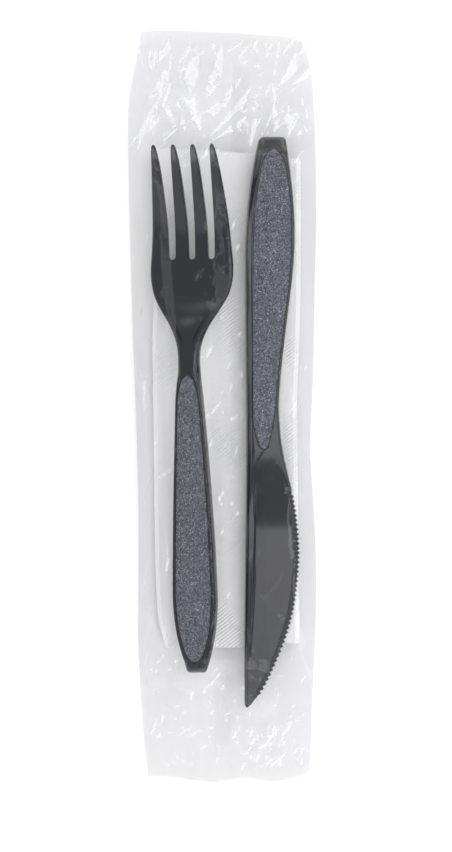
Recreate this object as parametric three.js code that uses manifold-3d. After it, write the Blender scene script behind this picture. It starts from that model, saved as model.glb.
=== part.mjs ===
// A wrapped cutlery pack: a moulded fork and a moulded knife lie side by side on a folded paper
// napkin, inside a clear film sleeve that is sealed along its back and across both ends.
// Millimetres, +Z up. The pack lies on its back with the fork's tines towards +Y, and the origin is
// on the surface that it lies on, under the middle of the sleeve.
import * as THREE from "three";
import { mergeVertices } from "three/addons/utils/BufferGeometryUtils.js";
import Module from "manifold-3d";

const wasm = await Module();
wasm.setup();

// ---------------------------------------------------------------- driving dimensions

const TOUCH_GAP = 0.3; // between pieces that touch

const SLEEVE = {
  film: 0.3, // thickness of the solid that stands for the thin film
  slit: 0.15, // between the plies of the back seam
  endSeal: 5.5, // width of the sealed band at each end
  seamRoot: 6.1, // x, halfway along, of the line where the back seam folds over
  seamLean: 0.0286, // how far that line moves across for each millimetre along
  seamWidth: 5.4,
  lowFlank: 0.3, // height of the fold at each side
  foldRise: 0.08, // how far the plies stand apart at the folds
  airOverPlies: 0.12, // least gap between the drape and the plies under it
  lengthwaysShare: 0.35, // the sleeve is pulled tighter across than along
  drapeRounds: 600, // enough for the tight sheet to settle
  length: 250.5,
};

const NAPKIN = {
  width: 49.8,
  length: 166,
  centre: [1.5, 2.9],
  panels: 6, // times the sheet is folded across its width
  panel: 0.34, // thickness of one folded panel, which is two plies
  crease: 0.1, // air between panels
  stagger: 1.0, // how far every second panel stops short
};

const FORK = {
  length: 175.2,
  place: [-9.4, -0.8], // middle of the fork in the pack
  yaw: 0.91, // degrees
  roll: -13.5, // its left side lies on the napkin and its right side is lifted
  slotRoot: 138.3,
  slotHalfWidth: 1.05,
  innerTine: 3.33, // x of the inner tines' middles
  panelFrom: 3.1,
  panelTo: 98.9,
  panelDepth: 0.35,
  handleDepth: 4.1, // of the handle's flanks
  neckThickness: 3.6,
  headThickness: 1.9,
  tipThickness: 1.15,
  bowl: 0.005, // rise of the head's section for each square millimetre from its middle
  wall: 1.4,
};

const KNIFE = {
  length: 189.8,
  place: [7.73, -5.2], // spine's x, and the middle of the knife
  roll: 5,
  height: 4.7, // of the rim of the handle
  buttDrop: 1.6, // how much lower the butt's end is
  spineRise: 1.5, // how far the spine stands above the blade near the handle
  bevel: 1.9, // width of the bevel along the teeth
  scoop: 1.1, // depth of the hollow where the blade meets the handle
  bladeThickness: 2.1,
  edgeThickness: 0.6,
  bladeFrom: 71.2, // where the toothed edge starts, from the tip
  toothPitch: 1.56,
  toothDepth: 0.78,
  teeth: 43,
  panelFrom: 85.5,
  panelTo: 185.9,
  panelDepth: 0.3,
  wall: 1.4,
};

// ---------------------------------------------------------------- helpers

// A smooth function through [at, value] pairs, level with its ends beyond them.
function smooth(pairs) {
  const n = pairs.length;
  const slope = (i) => {
    const a = pairs[Math.max(i - 1, 0)];
    const b = pairs[Math.min(i + 1, n - 1)];
    return (b[1] - a[1]) / (b[0] - a[0]);
  };
  return (at) => {
    if (at <= pairs[0][0]) return pairs[0][1];
    if (at >= pairs[n - 1][0]) return pairs[n - 1][1];
    const i = pairs.findIndex((p) => p[0] > at) - 1;
    const [x0, y0] = pairs[i];
    const [x1, y1] = pairs[i + 1];
    const h = x1 - x0;
    const s = (at - x0) / h;
    const turn = (1 - s) * (slope(i) * h - (y1 - y0)) + s * (y1 - y0 - slope(i + 1) * h);
    return (1 - s) * y0 + s * y1 + s * (1 - s) * turn;
  };
}

const mix = (a, b, share) => a + (b - a) * share;

// 0 below low, 1 above high, and a smooth rise between.
function rise(low, high, at) {
  return THREE.MathUtils.smoothstep(at, low, high);
}

function steps(from, to, count) {
  return Array.from({ length: count + 1 }, (_, i) => mix(from, to, i / count));
}

// A closed skin through section rings. Each ring is a loop of [x, z] at its y, with its upper side
// running towards +X, and the rings follow each other towards +Y.
function loft(rings) {
  const count = rings[0].points.length;
  const position = rings.flatMap(({ y, points }) => points.flatMap(([x, z]) => [x, y, z]));
  const index = [];
  for (let j = 0; j + 1 < rings.length; j++) {
    for (let i = 0; i < count; i++) {
      const a = j * count + i;
      const b = j * count + ((i + 1) % count);
      index.push(a, b, b + count, a, b + count, a + count);
    }
  }
  // A hair's breadth of unevenness keeps the points of a straight side in the cap.
  const uneven = 1e-6;
  const cap = (j, facing) => {
    const outline = rings[j].points.map(
      ([x, z], i) => new THREE.Vector2(x + uneven * Math.sin(7 * i), z + uneven * Math.cos(13 * i)),
    );
    const order = outline.map((_, i) => i).reverse();
    const loop = order.map((i) => outline[i]);
    for (const [a, b, c] of THREE.ShapeUtils.triangulateShape(loop, [])) {
      const corners = [order[a], order[b], order[c]].map((i) => i + j * count);
      index.push(...(facing < 0 ? corners : corners.reverse()));
    }
  };
  cap(0, -1);
  cap(rings.length - 1, 1);
  const geometry = new THREE.BufferGeometry();
  geometry.setAttribute("position", new THREE.Float32BufferAttribute(position, 3));
  return geometry.setIndex(index);
}

// A prism through the whole height, from an outline of [x, y] points.
function prism(outline, low = -30, high = 60) {
  const shape = new THREE.Shape(outline.map(([x, y]) => new THREE.Vector2(x, y)));
  const geometry = new THREE.ExtrudeGeometry(shape, { depth: high - low, bevelEnabled: false });
  return geometry.translate(0, 0, low);
}

function solid(geometry) {
  const plain = geometry.clone();
  plain.deleteAttribute("normal");
  plain.deleteAttribute("uv");
  const merged = mergeVertices(plain, 1e-4);
  const vertProperties = new Float32Array(merged.attributes.position.array);
  const triVerts = new Uint32Array(merged.index.array);
  return new wasm.Manifold(new wasm.Mesh({ numProp: 3, vertProperties, triVerts }));
}

function geometryOf(manifold) {
  const { vertProperties, triVerts } = manifold.getMesh();
  const geometry = new THREE.BufferGeometry();
  geometry.setAttribute("position", new THREE.BufferAttribute(vertProperties, 3));
  geometry.setIndex(new THREE.BufferAttribute(triVerts, 1));
  geometry.computeVertexNormals();
  return geometry;
}

// ---------------------------------------------------------------- handle section

// The section that both handles share: a shell that is open underneath, with sloping flanks, a
// rim, and a shallow panel sunk inside the rim. left and right are the outer edges, and inLeft and
// inRight the panel's edges.
function handleSection(s) {
  const { left, right, inLeft, inRight, base, flankTop, rim, panel, dome, under, wall } = s;
  const flank = 0.35 * Math.min(inLeft - left, right - inRight);
  const middle = (inLeft + inRight) / 2;
  const panelAt = (share) => [mix(inLeft, inRight, share), panel + dome * 4 * share * (1 - share)];
  const foot = Math.min(wall, (right - left) * 0.3);
  const lip = Math.min(0.25, (inRight - inLeft) * 0.1); // slope of the step down to the panel
  return [
    [left, base],
    [left + 0.05, mix(base, flankTop, 0.45)],
    [left + flank, flankTop],
    [mix(left, inLeft, 0.72), rim],
    [inLeft, rim - 0.02],
    [inLeft + lip, panel],
    panelAt(0.2),
    panelAt(0.4),
    panelAt(0.6),
    panelAt(0.8),
    [inRight - lip, panel],
    [inRight, rim - 0.02],
    [mix(right, inRight, 0.72), rim],
    [right - flank, flankTop],
    [right - 0.05, mix(base, flankTop, 0.45)],
    [right, base],
    [right - foot, base],
    [mix(right - foot, middle, 0.25), under],
    [mix(left + foot, middle, 0.25), under],
    [left + foot, base],
  ];
}

// ---------------------------------------------------------------- knife

// Distances from the tip, and x from the line of the spine.
const knifeLeft = smooth([
  [0, 0.3], [0.8, -0.15], [3, -0.3], [22, -0.3], [86, 0.25], [122, 0.05], [150, -0.12],
  [161, 0.33], [171.7, 1.37], [182.3, 3.0], [187.4, 4.1], [188.9, 4.6], [189.8, 5.6],
]);
const knifeRight = smooth([
  [71.3, 15.6], [73, 15.4], [78.3, 14.1], [83.7, 12.9], [89, 12], [99.7, 11.25], [107.7, 11.6],
  [123.7, 13.3], [145, 15.9], [155.7, 16.5], [166.3, 16.2], [177, 15.2], [186.7, 13.9],
  [188.9, 13.5], [189.8, 12.6],
]);
// The line through the bottoms of the teeth.
const toothRoot = smooth([
  [0, 0.8], [0.7, 1.6], [3.7, 3.8], [10.3, 7.5], [21.3, 12.25], [30.7, 15.1], [40, 16.65],
  [51, 17.45], [61.5, 16.8], [71, 15.3],
]);
const knifePanelLeft = smooth([
  [85.5, 5.75], [86.6, 4.6], [88.5, 3.7], [92, 2.6], [96, 2.05], [150, 2.05], [158, 2.3],
  [169, 3.2], [179.5, 4.75], [182.9, 6.0], [185.3, 7.9], [185.9, 9.1],
]);
const knifePanelRight = smooth([
  [85.5, 6.15], [86.3, 7.0], [90, 8.2], [97, 9.5], [109, 10.6], [125, 12.4], [143, 14.6],
  [158, 15.2], [170, 14.7], [181.8, 12.8], [184.2, 11.3], [185.9, 9.4],
]);

function knifeSection(y) {
  const blade = 1 - rise(68, 86, y); // 1 on the blade and 0 on the handle
  const left = knifeLeft(y);
  const edge = toothRoot(y) + KNIFE.toothDepth + 0.4;
  const right = y < KNIFE.bladeFrom ? edge : knifeRight(y);
  const inside = y >= KNIFE.panelFrom && y <= KNIFE.panelTo;
  const butt = 1 - rise(186, 189.8, y);
  const rib = KNIFE.spineRise * rise(12, 60, y);
  const top = mix(KNIFE.height - KNIFE.buttDrop * (1 - butt), KNIFE.bladeThickness, blade);
  const ridge = mix(KNIFE.height - KNIFE.buttDrop * (1 - butt), KNIFE.bladeThickness + rib, blade);
  const depth = inside ? KNIFE.panelDepth : 0;
  const inLeft = mix(knifePanelLeft(y), left + mix(1.2, 2.6, rise(5, 40, y)), blade);
  const inRight = mix(knifePanelRight(y), right - 2.7, blade);
  const scoop = KNIFE.scoop * rise(60, 74, y) * (1 - rise(80, 86, y));
  const section = handleSection({
    left,
    right,
    inLeft: Math.min(inLeft, right - 1.2),
    inRight: Math.max(inRight, inLeft + 0.4),
    base: 0,
    flankTop: mix(0.72 * KNIFE.height, 0.75 * KNIFE.bladeThickness, blade) * mix(0.75, 1, butt),
    rim: ridge,
    panel: top - depth - scoop * blade,
    dome: inside ? 0.3 : 0.05,
    under: mix(KNIFE.height - KNIFE.wall, 0, Math.min(1, blade * 3)) * (1 - rise(186, 189.6, y)),
    wall: KNIFE.wall,
  });
  if (y >= KNIFE.bladeFrom + 2) return { y, points: section };
  // The toothed edge: the blade's face runs to a bevel, and there is no rim on this side.
  const bevel = Math.min(KNIFE.bevel, (right - left) * 0.45);
  const thick = KNIFE.bladeThickness;
  const face = right - bevel;
  section[10] = [mix(section[4][0], face, 0.9), thick];
  section[11] = [mix(section[4][0], face, 0.95), thick];
  section[12] = [face, thick];
  section[13] = [mix(face, right, 0.6), mix(thick, KNIFE.edgeThickness, 0.6)];
  section[14] = [right, KNIFE.edgeThickness];
  for (const k of [5, 6, 7, 8, 9]) section[k][0] = mix(section[4][0], face, (k - 4.5) / 6);
  return { y, points: section };
}

// What lies outside the toothed edge.
function toothGaps() {
  const root = KNIFE.bladeFrom - 0.3;
  const zigzag = [];
  for (let k = 0; k <= KNIFE.teeth; k++) {
    const valley = root - k * KNIFE.toothPitch;
    const peak = valley - KNIFE.toothPitch / 2;
    zigzag.push([toothRoot(valley), valley]);
    if (k < KNIFE.teeth) zigzag.push([toothRoot(peak) + KNIFE.toothDepth, peak]);
  }
  const last = zigzag[zigzag.length - 1];
  const tip = steps(last[1], 0, 5).slice(1).map((y) => [toothRoot(y), y]);
  return prism([[30, -3], [30, root], ...zigzag, ...tip, [1, -3]]);
}

function knifeGeometry() {
  const stations = [
    ...[0, 0.5, 1.5, 3, 6, 10],
    ...steps(15, 65, 10),
    ...[68, 71.1, 71.3, 73.3, 75.5, 78, 80.5, 83, 84.6, 85.5, 86, 86.6, 87.8, 89.5, 92],
    ...steps(96, 176, 16),
    ...[179.5, 181.5, 183.2, 184.5, 185.4, 185.9, 186.4, 187.4, 188.4, 189.1, 189.5, 189.8],
  ];
  const blank = solid(loft(stations.map(knifeSection)));
  return geometryOf(blank.subtract(solid(toothGaps())));
}

// ---------------------------------------------------------------- fork

// Distances from the handle's end, and x from the fork's middle line.
const forkHalfWidth = smooth([
  [0, 2.5], [0.5, 3.2], [2.5, 3.9], [7.8, 5.3], [13.2, 6.45], [19, 7.15], [26, 7.45],
  [48, 6.8], [69, 5.8], [90, 4.55], [104, 3.6], [109, 4.25], [114.5, 6.4], [120, 9.8],
  [125.2, 12.65], [130, 13.85], [134, 14.1], [141, 13.6], [157, 12.5], [168, 11.55],
  [173.5, 10.9], [174.7, 10.5], [175.2, 10.1],
]);
const forkPanelHalf = smooth([
  [3.1, 0.15], [4.5, 1.95], [6.5, 3.15], [9.2, 4.1], [15, 5.35], [24, 6.1], [41, 5.8],
  [66, 4.9], [82, 4.1], [90.5, 3.65], [94, 3.0], [97, 2.1], [98.9, 0.15],
]);
const forkHeight = smooth([
  [0, 4.2], [21, 4.9], [48, 5.7], [74, 7.1], [92, 8.4], [104, 8.6], [112, 7.2], [119, 4.2],
  [126, 1.3], [134, 0], [144, 0], [150, 0.9], [157, 2.9], [168, 7], [175.2, 10.8],
]);
// Half the width of an inner tine, and the middle and half width of an outer one.
const innerTineHalf = smooth([
  [138, 2.25], [149, 2.1], [157, 1.9], [167.8, 1.5], [173, 1], [174.6, 0.65], [175.3, 0],
]);
const outerTineMiddle = smooth([[138, 10.6], [157, 10.3], [175.2, 9.9]]);
const outerTineHalf = smooth([
  [138, 2.8], [149, 2.5], [157, 2.15], [167.8, 1.5], [173, 0.9], [174.6, 0.55], [175.3, 0],
]);

function forkSection(y) {
  const head = rise(106, 122, y); // 0 on the handle and 1 on the head
  const half = forkHalfWidth(y);
  const inside = y >= FORK.panelFrom && y <= FORK.panelTo;
  const z = forkHeight(y);
  const tine = rise(FORK.slotRoot, FORK.length, y);
  const bowl = FORK.bowl * mix(1, 0.6, tine);
  const flare = (x) => bowl * x * x * head;
  const thick = mix(mix(FORK.neckThickness, FORK.headThickness, head), FORK.tipThickness, tine);
  const panelHalf = inside ? forkPanelHalf(y) : mix(half * 0.6, half * 0.8, head);
  const deep = mix(FORK.handleDepth, thick, rise(88, 118, y)) * mix(0.75, 1, rise(0, 6, y));
  const section = handleSection({
    left: -half,
    right: half,
    inLeft: -panelHalf,
    inRight: panelHalf,
    base: z - deep,
    flankTop: z - mix(1.1, 0.3, head),
    rim: z,
    panel: z - (inside ? FORK.panelDepth : mix(0.1, 0.02, head)),
    dome: inside ? 0.25 : 0,
    under: z - mix(FORK.wall, thick, rise(88, 104, y)) - 1.2 * (1 - rise(1, 8, y)),
    wall: FORK.wall,
  });
  return { y, points: section.map(([x, h]) => [x, h + flare(x)]) };
}

// The three gaps between the tines, each with a round root.
function tineGaps() {
  const heights = [...steps(FORK.slotRoot, 172, 8), 173.4, 174.3, 174.9, 175.25, 176.5];
  const r = FORK.slotHalfWidth;
  const gap = (leftAt, rightAt) => {
    const middle = (leftAt(FORK.slotRoot) + rightAt(FORK.slotRoot)) / 2;
    const root = steps(Math.PI, 2 * Math.PI, 8).map((a) => [
      middle + r * Math.cos(a),
      FORK.slotRoot + r * Math.sin(a),
    ]);
    const up = heights.slice(1).map((y) => [rightAt(y), y]);
    const down = heights.slice(1).reverse().map((y) => [leftAt(y), y]);
    return solid(prism([...root, ...up, ...down]));
  };
  const innerOut = (y) => FORK.innerTine + innerTineHalf(y);
  const innerIn = (y) => FORK.innerTine - innerTineHalf(y);
  const outerIn = (y) => outerTineMiddle(y) - outerTineHalf(y);
  return [
    gap((y) => -innerIn(y), innerIn),
    gap(innerOut, outerIn),
    gap((y) => -outerIn(y), (y) => -innerOut(y)),
  ];
}

function forkGeometry() {
  const stations = [
    ...[0, 0.5, 1.6, 3.05, 3.15, 3.6, 4.5, 6.5, 9.2, 12],
    ...steps(16, 88, 16),
    ...[91, 94, 96, 97.6, 98.5, 98.85, 98.95, 101],
    ...steps(104, 136, 14),
    ...steps(139, 171, 10),
    ...[173, 174.2, 174.8, 175.2],
  ];
  const blank = solid(loft(stations.map(forkSection)));
  const made = tineGaps().reduce((body, gap) => body.subtract(gap), blank);
  return geometryOf(made);
}

// ---------------------------------------------------------------- napkin

// A sheet folded to and fro across its width. The section is one strip that doubles back at each
// fold, with every second panel stopping short, and it runs the napkin's whole length.
function napkinGeometry() {
  const { width, length, panels, panel, crease, stagger } = NAPKIN;
  const pitch = panel + crease;
  const half = width / 2;
  const bends = 5;
  // One side of the strip, offset by d from its middle line.
  const side = (d) => {
    const points = [[-half + stagger, -d]];
    for (let k = 0; k + 1 < panels; k++) {
      const toRight = k % 2 === 0;
      const turn = toRight ? half - pitch / 2 - panel / 2 : -half + pitch / 2 + panel / 2;
      const x = turn - (toRight ? 1 : -1) * (k % 4 < 2 ? 0 : stagger);
      const r = pitch / 2 + (toRight ? d : -d);
      for (const a of steps(-Math.PI / 2, Math.PI / 2, bends)) {
        points.push([x + (toRight ? 1 : -1) * r * Math.cos(a), (k + 0.5) * pitch + r * Math.sin(a)]);
      }
    }
    const last = (panels - 1) * pitch;
    const end = panels % 2 === 0 ? -half + 0.4 * stagger : half - 0.4 * stagger;
    points.push([end, last + (panels % 2 === 0 ? d : -d)]);
    return points;
  };
  const strip = [...side(panel / 2), ...side(-panel / 2).reverse()];
  const outline = strip.map(([x, z]) => [x, z + panel / 2]);
  const area = THREE.ShapeUtils.area(outline.map(([x, z]) => new THREE.Vector2(x, z)));
  const points = area < 0 ? outline : outline.reverse();
  return loft([
    { y: -length / 2, points },
    { y: length / 2, points },
  ]);
}

const napkinThickness = NAPKIN.panels * NAPKIN.panel + (NAPKIN.panels - 1) * NAPKIN.crease;

// ---------------------------------------------------------------- sleeve

const sleeveLeft = smooth([
  [-125.3, -24.6], [-109, -26.2], [-93, -27.2], [-76, -28], [-51, -27.8], [-26, -28], [-9, -28.5],
  [24, -29.7], [57, -30.7], [90, -31.35], [99, -31.2], [107, -30.3], [117, -28.3], [125.3, -26.8],
]);
const sleeveRight = smooth([
  [-125.3, 29.1], [-110, 29.7], [-93, 30.3], [-76, 31.1], [-60, 31.35], [-43, 31], [-26, 30],
  [-13.5, 29.3], [7, 30.2], [40, 30.9], [65, 31.35], [90, 31], [107, 30.2], [118, 29.2],
  [125.3, 27.6],
]);
const sleeveTop = smooth([
  [-27, 124.9], [-18, 125.25], [1.3, 124.6], [19.3, 123.4], [25.3, 122.2], [28.5, 119.9],
  [29.4, 117.5],
]);
const sleeveBottom = smooth([
  [-25, -123.2], [-16.7, -123.5], [-10.7, -124.5], [-2.5, -125.25], [7.3, -123.9], [15.5, -124.9],
  [21.3, -124.5], [29.5, -122.1],
]);

const SLEEVE_COLUMNS = 16;
const SLEEVE_ROWS = 46;
const SLEEVE_HALF = 31.35; // at its widest
const seamTop = 3 * SLEEVE.film + 2 * SLEEVE.slit; // top of the stack of plies over the back seam
const seamCover = 7.5; // the drape is lifted this far each side of the seam's middle

// Where the back seam folds over at y.
const seamRootAt = (y) => SLEEVE.seamRoot + SLEEVE.seamLean * y;

// How far across the sleeve column i stands at y, from fold to fold.
function acrossAt(i, y) {
  const inset = 0.35;
  const margin = 2.3; // the film falls steeply within this of each fold
  if (i === 0) return sleeveLeft(y) + inset;
  if (i === SLEEVE_COLUMNS) return sleeveRight(y) - inset;
  return mix(sleeveLeft(y) + margin, sleeveRight(y) - margin, (i - 1) / (SLEEVE_COLUMNS - 2));
}

// The heights of the film's two faces over the contents: a tight sheet, held low along its edges,
// that touches what it lies on and spans freely between.
function drape(stations, contents) {
  const rows = stations.length;
  const columns = SLEEVE_COLUMNS + 1;
  // The film keeps clear of whatever lies this near a point of its grid, across and along.
  const reach = (2 * SLEEVE_HALF) / SLEEVE_COLUMNS + 0.1;
  const reachAlong = stations[1] - stations[0] + 0.1;
  const floor = stations.map((y) =>
    Array.from({ length: columns }, (_, i) => {
      const x = acrossAt(i, y);
      const overSeam = Math.abs(x - (seamRootAt(y) - SLEEVE.seamWidth / 2)) < seamCover;
      let z = (overSeam ? seamTop : SLEEVE.film) + SLEEVE.airOverPlies;
      const onNapkin =
        Math.abs(x - NAPKIN.centre[0]) < NAPKIN.width / 2 + reach &&
        Math.abs(y - NAPKIN.centre[1]) < NAPKIN.length / 2 + reachAlong;
      if (onNapkin) z = Math.max(z, napkinBase + napkinThickness + TOUCH_GAP);
      return z;
    }),
  );
  for (const p of contents) {
    stations.forEach((y, j) => {
      if (Math.abs(y - p.y) > reachAlong) return;
      for (let i = 0; i < columns; i++) {
        if (Math.abs(acrossAt(i, y) - p.x) < reach) {
          floor[j][i] = Math.max(floor[j][i], p.z + TOUCH_GAP);
        }
      }
    });
  }
  const sheet = floor.map((row) => [...row]);
  const fixed = (i, j) => i === 0 || i === columns - 1 || j === 0 || j === rows - 1;
  for (let j = 0; j < rows; j++) {
    sheet[j][0] = SLEEVE.film + SLEEVE.foldRise;
    sheet[j][columns - 1] = SLEEVE.film + SLEEVE.foldRise;
  }
  for (let round = 0; round < SLEEVE.drapeRounds; round++) {
    for (let j = 0; j < rows; j++) {
      for (let i = 0; i < columns; i++) {
        if (fixed(i, j)) continue;
        const across = (sheet[j][i - 1] + sheet[j][i + 1]) / 2;
        const lengthways = (sheet[j - 1][i] + sheet[j + 1][i]) / 2;
        sheet[j][i] = Math.max(floor[j][i], mix(across, lengthways, SLEEVE.lengthwaysShare));
      }
    }
  }
  return stations.map((y, j) =>
    sheet[j].map((z, i) => {
      // The outer face stands one film thickness off, square to the steepest slope here.
      const beside = [i - 1, i + 1].filter((k) => k >= 0 && k < columns);
      const along = [j - 1, j + 1].filter((k) => k >= 0 && k < rows);
      const x = acrossAt(i, y);
      const steepest = (slopes) => Math.max(...slopes.map(Math.abs));
      const slopeX = steepest(beside.map((k) => (sheet[j][k] - z) / (acrossAt(k, y) - x)));
      const slopeY = steepest(along.map((k) => (sheet[k][i] - z) / (stations[k] - y)));
      const stretch = fixed(i, j) ? 1 : Math.hypot(1, slopeX, slopeY);
      return { inner: z, outer: z + SLEEVE.film * stretch };
    }),
  );
}

// The sleeve's section: one strip of film from one edge of the back seam, round the pack, to the
// other. Both edges lie together under the left half as a flap, and the slit between them is open.
function tubeSection(y, heights) {
  const { film, slit, seamWidth, lowFlank } = SLEEVE;
  const root = seamRootAt(y);
  const flap = root - seamWidth;
  const left = sleeveLeft(y);
  const right = sleeveRight(y);
  const inner = heights.map((h, i) => [acrossAt(i, y), h.inner]);
  const outer = heights.map((h, i) => [acrossAt(i, y), h.outer]);
  return {
    y,
    points: [
      [left, lowFlank],
      ...outer,
      [right, lowFlank],
      [right - 0.25, 0],
      [flap, 0],
      [flap, film],
      [right - 0.45, film],
      ...inner.reverse(),
      [left + 0.45, film],
      [flap - 2.2, film],
      [flap - 0.8, seamTop],
      [root, seamTop],
      [root + 0.35, seamTop - 0.2],
      [root + 0.35, film + slit + 0.2],
      [root, film + slit],
      [flap, film + slit],
      [flap, 2 * film + slit],
      [root, 2 * film + slit],
      [root, 2 * film + 2 * slit],
      [flap - 0.6, 2 * film + 2 * slit],
      [flap - 2, 0],
      [left + 0.25, 0],
    ],
  };
}

// The same section with nothing inside it, where the ends are sealed.
function sealSection(y, heights) {
  const left = sleeveLeft(y);
  const right = sleeveRight(y);
  const outer = heights.map((h, i) => [acrossAt(i, y), h.outer]);
  return {
    y,
    points: [
      [left, SLEEVE.lowFlank],
      ...outer,
      [right, SLEEVE.lowFlank],
      [right - 0.25, 0],
      [left + 0.25, 0],
    ],
  };
}

function sleeveGeometry(contents) {
  const half = SLEEVE.length / 2;
  const open = half - SLEEVE.endSeal;
  const stations = steps(-open, open, SLEEVE_ROWS);
  const heights = drape(stations, contents);
  const tube = solid(loft(stations.map((y, j) => tubeSection(y, heights[j]))));
  const lap = 0.4; // how far a seal runs into the tube
  const band = (from, to, row) => solid(loft(steps(from, to, 4).map((y) => sealSection(y, row))));
  const lower = band(-half - 0.5, -open + lap, heights[0]);
  const upper = band(open - lap, half + 0.5, heights[heights.length - 1]);
  const trim = solid(
    prism([
      ...steps(-33, 33, 44).map((x) => [x, sleeveBottom(x)]),
      ...steps(33, -33, 44).map((x) => [x, sleeveTop(x)]),
    ]),
  );
  return geometryOf(tube.add(lower).add(upper).intersect(trim));
}

// ---------------------------------------------------------------- the pack

const BLACK_PLASTIC = new THREE.MeshStandardMaterial({ color: 0x2c2d31, roughness: 0.22, metalness: 0 });
const TISSUE = new THREE.MeshStandardMaterial({ color: 0xdcdcde, roughness: 0.95, metalness: 0 });
const CLEAR_FILM = new THREE.MeshStandardMaterial({
  color: 0xe6e6ea,
  roughness: 0.12,
  metalness: 0,
  transparent: true,
  opacity: 0.25,
});

const napkinBase = seamTop + TOUCH_GAP;

function piece(name, geometry, material) {
  const mesh = new THREE.Mesh(geometry, material);
  mesh.name = name;
  return mesh;
}

// Turns a piece about its own axis, sets it down at a height, and moves it to its place.
function lay(mesh, { length, place, yaw = 0, roll }, height) {
  mesh.geometry.translate(0, -length / 2, 0);
  mesh.rotation.set(0, THREE.MathUtils.degToRad(roll), THREE.MathUtils.degToRad(yaw), "ZYX");
  mesh.position.set(place[0], place[1], 0);
  mesh.updateMatrixWorld(true);
  const box = new THREE.Box3().setFromObject(mesh, true);
  mesh.position.z = height - box.min.z;
  mesh.updateMatrixWorld(true);
  return mesh;
}

function cornersOf(mesh) {
  const at = mesh.geometry.attributes.position;
  return Array.from({ length: at.count }, (_, i) =>
    new THREE.Vector3().fromBufferAttribute(at, i).applyMatrix4(mesh.matrixWorld),
  );
}

const napkin = piece("napkin", napkinGeometry(), TISSUE);
napkin.position.set(NAPKIN.centre[0], NAPKIN.centre[1], napkinBase);

const onNapkin = napkinBase + napkinThickness + TOUCH_GAP;
const fork = lay(piece("fork", forkGeometry(), BLACK_PLASTIC), FORK, onNapkin);
const knife = lay(piece("knife", knifeGeometry(), BLACK_PLASTIC), KNIFE, onNapkin);
const contents = [...cornersOf(fork), ...cornersOf(knife)];
const sleeve = piece("film_sleeve", sleeveGeometry(contents), CLEAR_FILM);

const pack = new THREE.Group();
pack.add(sleeve, napkin, fork, knife);

export default pack;
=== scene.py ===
# %% [markdown]
# # A wrapped cutlery pack
#
# This lesson builds a takeaway cutlery kit: a black moulded fork and knife on a folded paper
# napkin, sealed in a sleeve of clear film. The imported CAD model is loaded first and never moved.
# Each visible piece is then built again with a finer mesh. Its outline repeats the CAD's, in
# millimetres. The heights at which the fork, knife and napkin lie are read from the loaded model.

# %% Load the frame
import math

import bmesh
import bpy
import numpy as np
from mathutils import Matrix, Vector
from mathutils.bvhtree import BVHTree


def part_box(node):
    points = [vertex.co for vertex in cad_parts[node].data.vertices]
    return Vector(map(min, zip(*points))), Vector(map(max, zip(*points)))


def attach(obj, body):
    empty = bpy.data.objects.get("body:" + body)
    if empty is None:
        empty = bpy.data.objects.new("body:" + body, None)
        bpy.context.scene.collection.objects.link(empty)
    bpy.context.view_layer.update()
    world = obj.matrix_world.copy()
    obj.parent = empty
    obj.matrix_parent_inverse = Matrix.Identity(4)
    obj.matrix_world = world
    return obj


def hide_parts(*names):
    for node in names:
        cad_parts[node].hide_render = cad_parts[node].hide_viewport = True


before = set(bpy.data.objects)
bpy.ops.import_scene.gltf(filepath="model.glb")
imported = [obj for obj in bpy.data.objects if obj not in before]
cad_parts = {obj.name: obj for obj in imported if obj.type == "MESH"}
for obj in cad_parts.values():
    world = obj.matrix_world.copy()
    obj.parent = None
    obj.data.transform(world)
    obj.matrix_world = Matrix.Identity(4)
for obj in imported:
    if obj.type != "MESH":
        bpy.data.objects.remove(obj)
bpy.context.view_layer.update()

MM = 0.001
BODY = "root"

# %% [markdown]
# ## Helpers for smooth shapes
#
# Moulded cutlery has no straight lines, so nearly every width and height in this lesson is a
# smooth curve through a few measured pairs. One helper draws such a curve, and a second one eases
# from 0 to 1 between two places. Both take whole arrays, so a mesh of many thousand points is
# worked out in one go.


# %% Curves and easing
def through(pairs):
    """A smooth curve through (place, value) pairs, level beyond both ends."""
    at, value = np.array(pairs, float).T
    before = np.r_[0, np.arange(len(at) - 1)]
    after = np.r_[np.arange(1, len(at)), len(at) - 1]
    slope = (value[after] - value[before]) / (at[after] - at[before])

    def curve(x):
        x = np.clip(np.asarray(x, float), at[0], at[-1])
        i = np.clip(np.searchsorted(at, x, "right") - 1, 0, len(at) - 2)
        h = at[i + 1] - at[i]
        s = (x - at[i]) / h
        step = value[i + 1] - value[i]
        bend = (1 - s) * (slope[i] * h - step) + s * (step - slope[i + 1] * h)
        return value[i] + s * step + s * (1 - s) * bend

    return curve


def mix(a, b, share):
    return a + (b - a) * share


def ease(low, high, at):
    """0 at low and 1 at high, whichever is larger, with a smooth rise between."""
    s = np.clip((np.asarray(at, float) - low) / (high - low), 0, 1)
    return s * s * (3 - 2 * s)


def shoulder(distance, width):
    """The height, from 0 to 1, of a quarter-round edge at a distance from its foot."""
    s = np.clip(distance / np.maximum(width, 1e-9), 0, 1)
    return np.sqrt(np.maximum(0, 1 - (1 - s) ** 2))


print("halfway along a rise:", float(ease(0, 1, 0.5)))

# %% [markdown]
# ## From points to a closed mesh
#
# Every piece is made of grids: one for the face that shows and one for its underside. Where the
# two grids meet, their points fall on each other, so merging the doubles closes the skin. Faces
# between the tines are left out, and the small openings at the roots of the gaps are filled.


# %% Mesh helpers
def grid_faces(rows, columns, first=0, flip=False):
    """Quads of a grid of points, the first of which has this number."""
    j, i = np.meshgrid(np.arange(rows - 1), np.arange(columns - 1), indexing="ij")
    a = (j * columns + i).ravel() + first
    quads = np.stack([a, a + 1, a + columns + 1, a + columns], 1)
    return quads[:, ::-1] if flip else quads


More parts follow.
